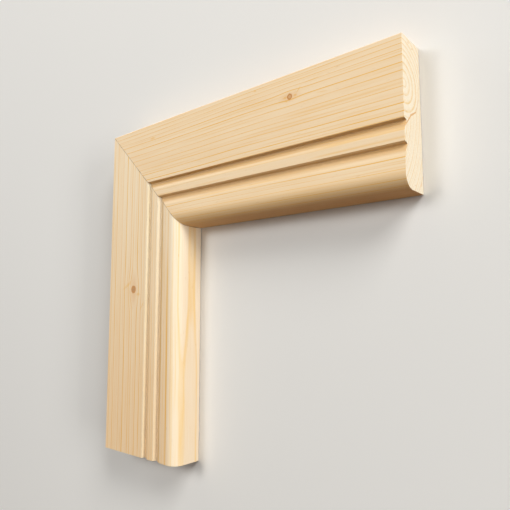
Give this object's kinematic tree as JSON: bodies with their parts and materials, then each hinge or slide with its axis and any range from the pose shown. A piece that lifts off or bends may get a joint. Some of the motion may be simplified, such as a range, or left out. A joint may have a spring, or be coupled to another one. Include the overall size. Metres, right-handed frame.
{
  "type": "architrave moulding corner",
  "caption": "Mitred corner of planed pine architrave: moulded head and jamb lengths with a flat face, a quirked band and a rounded inner nose, for trimming a door or window opening.",
  "frame": {"origin": "under the middle of the corner's outline, on the plane of the two backs", "axes": "+Z out of the moulded face, +X along the head from the mitre to its sawn end, -Y along the jamb from the mitre to its foot"},
  "size_m": [0.215, 0.213, 0.0193],
  "materials": {
    "pine": "planed bare softwood, satin"
  },
  "bodies": {
    "root": {"architrave_head": "pine", "architrave_jamb": "pine"}
  },
  "joints": []
}
